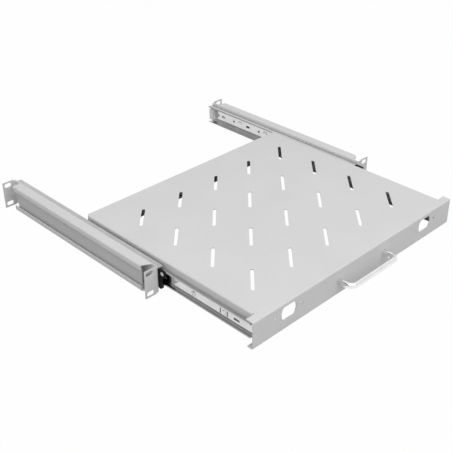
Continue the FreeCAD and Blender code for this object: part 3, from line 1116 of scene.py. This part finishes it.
@dataclass
class BallSlide(SideAssembly):
    """Telescopic ball slide of one side, with its plastic end pieces and fasteners."""

    edge: float = 0.15 * MM
    cage_edge: float = 0.075 * MM
    plastic_edge: float = 0.45 * MM
    mouth_top: float = 15.1 * MM
    cage_front: float = 48.0 * MM
    mid_z: float = 1.0 * MM
    ball_x: float = 208.65 * MM
    ball_rise: float = 12.55 * MM
    ball_radius: float = 2.2 * MM
    ball_facets: tuple[int, int] = (24, 14)
    ball_y: tuple[float, ...] = (58.5 * MM, 86.5 * MM, 114.5 * MM)
    rivet_x: float = 216.3 * MM
    rivet_y: tuple[float, float] = (32.6 * MM, 160.6 * MM)
    rivet: DomedRivet = DomedRivet(
        head_radius=3.2 * MM, head_height=1.0 * MM, shank_radius=1.98 * MM, shank_length=2.7 * MM
    )
    screw_x: float = 207.5 * MM
    screw_y: tuple[float, float] = (-60.0 * MM, 150.0 * MM)
    screw: PanScrew = PanScrew(
        head_radius=3.5 * MM,
        head_height=1.6 * MM,
        shank_radius=1.95 * MM,
        shank_length=7.8 * MM,
        recess=CrossRecess(arm=1.3 * MM, width=0.36 * MM, depth=0.8 * MM),
    )
    pin_x: float = 212.9 * MM
    pin_y: float = -8.6 * MM
    pin_z: float = 11.4 * MM
    pin: DomedRivet = DomedRivet(
        head_radius=2.9 * MM, head_height=0.3 * MM, shank_radius=2.9 * MM, shank_length=4.3 * MM
    )

    def build(self) -> list[bpy.types.Object]:
        """Make the slide.

        Returns:
            The slide's pieces.
        """
        cage = f"cage_{self.side.label}"
        fixed = Bodies.FRAME.value
        moving = Bodies.SHELF.value
        plastic = self.plastic_edge
        zinc = self.finishes.of(Slot.ZINC)
        # The mouth pin's near-white plating is partly a painted glint.
        nickel_and_glint = self.finishes.pin_plating_and_glint
        front_cut = ((0.0, self.cage_front, 0.0), (0.0, -1.0, 0.0))
        top_cut = ((0.0, 0.0, self.mouth_top), (0.0, 0.0, 1.0))
        rivets = [self.seat(self.rivet_x, y, self.mid_z, False) for y in self.rivet_y]
        screws = [self.seat(self.screw_x, y, self.mid_z, True) for y in self.screw_y]
        pin = self.seat(self.pin_x, self.pin_y, self.pin_z, False)
        return [
            self.dress("slide_outer", "outer_rail", fixed, Slot.ZINC, self.edge),
            self.dress("slide_inner", "inner_rail", moving, Slot.ZINC, self.edge),
            self.dress("ball_cage", "retainer", cage, Slot.CAGE, self.cage_edge, front_cut),
            self.dress("rear_bumper", "closing_stop", fixed, Slot.WHITE, plastic),
            self.dress("front_guide", "mouthpiece", fixed, Slot.PLASTIC, plastic, top_cut),
            self.make_balls(cage),
            self.fasten(self.rivet, rivets, "slide_rivets", "rail_rivets", fixed),
            self.fasten(self.screw, screws, "slide_screws", "rail_screws", moving, zinc),
            self.fasten(self.pin, [pin], "guide_pin", "mouth_pin", fixed, nickel_and_glint),
        ]

    def make_balls(self, body: str) -> bpy.types.Object:
        """Make the balls of both races.

        Args:
            body: Body they ride on.

        Returns:
            The balls.
        """
        piece = Workpiece()
        round_count, rise_count = self.ball_facets
        for y in self.ball_y:
            for rise in (-self.ball_rise, self.ball_rise):
                place = Matrix.Translation((self.side.x(self.ball_x), y, self.mid_z + rise))
                bmesh.ops.create_uvsphere(
                    piece.bm,
                    u_segments=round_count,
                    v_segments=rise_count,
                    radius=self.ball_radius,
                    matrix=place,
                )
        piece.settle()
        label = self.side.label
        return piece.finish(
            f"bearing_balls_{label}", body, Slot.BALL, self.finishes, [f"balls_{label}"]
        )


@dataclass(frozen=True)
class Softbox:
    """Square lamp that faces the shelf."""

    name: str = "key_softbox"
    place: Point = (-0.6, -0.95, 1.65)
    size: float = 2.2
    watts: float = 23.2

    def hang(self) -> bpy.types.Object:
        """Put the lamp in the scene.

        Returns:
            The lamp.
        """
        light = bpy.data.lights.new(self.name, "AREA")
        light.shape = "SQUARE"
        light.size = self.size
        light.energy = self.watts
        lamp = bpy.data.objects.new(self.name, light)
        lamp.location = self.place
        lamp.rotation_euler = (-Vector(self.place)).to_track_quat("-Z", "Y").to_euler()
        bpy.context.scene.collection.objects.link(lamp)
        return lamp


@dataclass
class Studio:
    """Pale floor, one soft lamp, white surroundings and the camera."""

    floor_z: float = -23.0 * MM
    floor_size: float = 8.0
    floor_colour: Colour = (0.38, 0.38, 0.38)
    shown_white: float = 0.985
    sky: float = 0.60
    dark_way: Point = (-0.25, 0.0, 0.968)
    dark_start: float = 0.10
    dark_stop: float = 0.85
    dark_level: float = 0.26
    ceiling_way: Point = (0.3, 0.0, 0.954)
    ceiling_start: float = 0.70
    ceiling_stop: float = 0.82
    camera_place: Point = (-0.80174, -0.72956, 0.65064)
    camera_turn: tuple[float, float, float] = (58.6031, 0.2772, -44.5314)
    lens: float = 66.656
    sensor: float = 36.0
    key: Softbox = Softbox()

    def build(self) -> None:
        """Set up the floor, sky, lamp and camera."""
        self.make_floor()
        self.make_sky()
        self.key.hang()
        self.make_camera()
        bpy.context.scene.view_settings.view_transform = "Standard"

    def make_floor(self) -> bpy.types.Object:
        """Lay the floor.

        Returns:
            Nothing, since mark_backdrop gives no value back.
        """
        bm = bmesh.new()
        bmesh.ops.create_grid(
            bm,
            x_segments=1,
            y_segments=1,
            size=self.floor_size / 2.0,
            matrix=Matrix.Translation((0.0, 0.0, self.floor_z)),
        )
        mesh = bpy.data.meshes.new("studio_floor")
        bm.to_mesh(mesh)
        bm.free()
        floor = bpy.data.objects.new("studio_floor", mesh)
        bpy.context.scene.collection.objects.link(floor)
        mesh.materials.append(self.floor_paint())
        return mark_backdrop(floor)

    def floor_paint(self) -> bpy.types.Material:
        """Pale matt floor that shows nearly white and keeps a faint shadow.

        Returns:
            The floor's material.
        """
        material = bpy.data.materials.new("pale_floor")
        material.use_nodes = True
        tree = material.node_tree
        tree.nodes.clear()
        matt = tree.nodes.new("ShaderNodeBsdfDiffuse")
        matt.inputs["Color"].default_value = (*self.floor_colour, 1.0)
        white = tree.nodes.new("ShaderNodeEmission")
        white.inputs["Strength"].default_value = 1.0
        seen = self.seen_rays(tree)
        share = tree.nodes.new("ShaderNodeMath")
        share.operation = "MULTIPLY"
        share.inputs[1].default_value = self.shown_white
        tree.links.new(seen, share.inputs[0])
        mix = tree.nodes.new("ShaderNodeMixShader")
        tree.links.new(share.outputs[0], mix.inputs["Fac"])
        tree.links.new(matt.outputs[0], mix.inputs[1])
        tree.links.new(white.outputs[0], mix.inputs[2])
        output = tree.nodes.new("ShaderNodeOutputMaterial")
        tree.links.new(mix.outputs[0], output.inputs["Surface"])
        return material

    @staticmethod
    def seen_rays(tree: Tree) -> Socket:
        """Value that is 1 for rays that show the surroundings.

        Args:
            tree: Tree to add the nodes to.

        Returns:
            The value.
        """
        path = tree.nodes.new("ShaderNodeLightPath")
        value = path.outputs["Is Camera Ray"]
        for name in ("Is Glossy Ray", "Is Transmission Ray"):
            either = tree.nodes.new("ShaderNodeMath")
            either.operation = "MAXIMUM"
            tree.links.new(value, either.inputs[0])
            tree.links.new(path.outputs[name], either.inputs[1])
            value = either.outputs[0]
        return value

    def make_sky(self) -> None:
        """Surround the scene with white that lights it softly."""
        world = bpy.data.worlds.new("soft_sky")
        world.use_nodes = True
        bpy.context.scene.world = world
        tree = world.node_tree
        tree.nodes.clear()
        shine = tree.nodes.new("ShaderNodeBackground")
        shine.inputs["Color"].default_value = (1.0, 1.0, 1.0, 1.0)
        strength = tree.nodes.new("ShaderNodeMapRange")
        strength.inputs["To Min"].default_value = self.sky
        tree.links.new(self.sky_shade(tree), strength.inputs["To Max"])
        tree.links.new(self.seen_rays(tree), strength.inputs["Value"])
        tree.links.new(strength.outputs["Result"], shine.inputs["Strength"])
        output = tree.nodes.new("ShaderNodeOutputWorld")
        tree.links.new(shine.outputs[0], output.inputs["Surface"])

    def sky_shade(self, tree: Tree) -> Socket:
        """Brightness of the surroundings, white at eye level and overhead and darker between.

        Args:
            tree: Tree to add the nodes to.

        Returns:
            The brightness.
        """
        shade = self.towards(
            tree, self.dark_way, self.dark_start, self.dark_stop, 1.0, self.dark_level
        )
        ceiling = self.towards(
            tree, self.ceiling_way, self.ceiling_start, self.ceiling_stop, 0.0, 1.0
        )
        brighter = tree.nodes.new("ShaderNodeMath")
        brighter.operation = "MAXIMUM"
        tree.links.new(shade, brighter.inputs[0])
        tree.links.new(ceiling, brighter.inputs[1])
        return brighter.outputs[0]

    @staticmethod
    def towards(
        tree: Tree, way: Point, start: float, stop: float, low: float, high: float
    ) -> Socket:
        """Value that changes towards one part of the surroundings.

        Args:
            tree: Tree to add the nodes to.
            way: Direction of that part.
            start: Closeness at which the change starts, 1 for straight at it.
            stop: Closeness at which it ends.
            low: Value before the change.
            high: Value after it.

        Returns:
            The value.
        """
        near = tree.nodes.new("ShaderNodeVectorMath")
        near.operation = "DOT_PRODUCT"
        near.inputs[1].default_value = way
        ray = tree.nodes.new("ShaderNodeTexCoord").outputs["Generated"]
        tree.links.new(ray, near.inputs[0])
        change = tree.nodes.new("ShaderNodeMapRange")
        change.inputs["From Min"].default_value = start
        change.inputs["From Max"].default_value = stop
        change.inputs["To Min"].default_value = low
        change.inputs["To Max"].default_value = high
        tree.links.new(near.outputs["Value"], change.inputs["Value"])
        return change.outputs["Result"]

    def make_camera(self) -> bpy.types.Object:
        """Set the camera where the photograph was taken.

        Returns:
            The camera.
        """
        data = bpy.data.cameras.new("photo_camera")
        data.sensor_width = self.sensor
        data.lens = self.lens
        camera = bpy.data.objects.new("photo_camera", data)
        camera.location = self.camera_place
        camera.rotation_euler = [math.radians(turn) for turn in self.camera_turn]
        bpy.context.scene.collection.objects.link(camera)
        bpy.context.scene.camera = camera
        return camera


def main() -> None:
    """Build every sub-assembly of the shelf and the studio round it."""
    logging.basicConfig(level=logging.INFO, format="%(message)s")
    finishes = Finishes()
    assemblies = [ShelfTray(finishes), BarHandle(finishes)]
    assemblies += [RackBracket(side, finishes) for side in Side]
    assemblies += [BallSlide(side, finishes) for side in Side]
    for assembly in assemblies:
        pieces = assembly.build()
        LOG.info("%s: %d pieces", type(assembly).__name__, len(pieces))
    Studio().build()


if __name__ == "__main__":
    main()
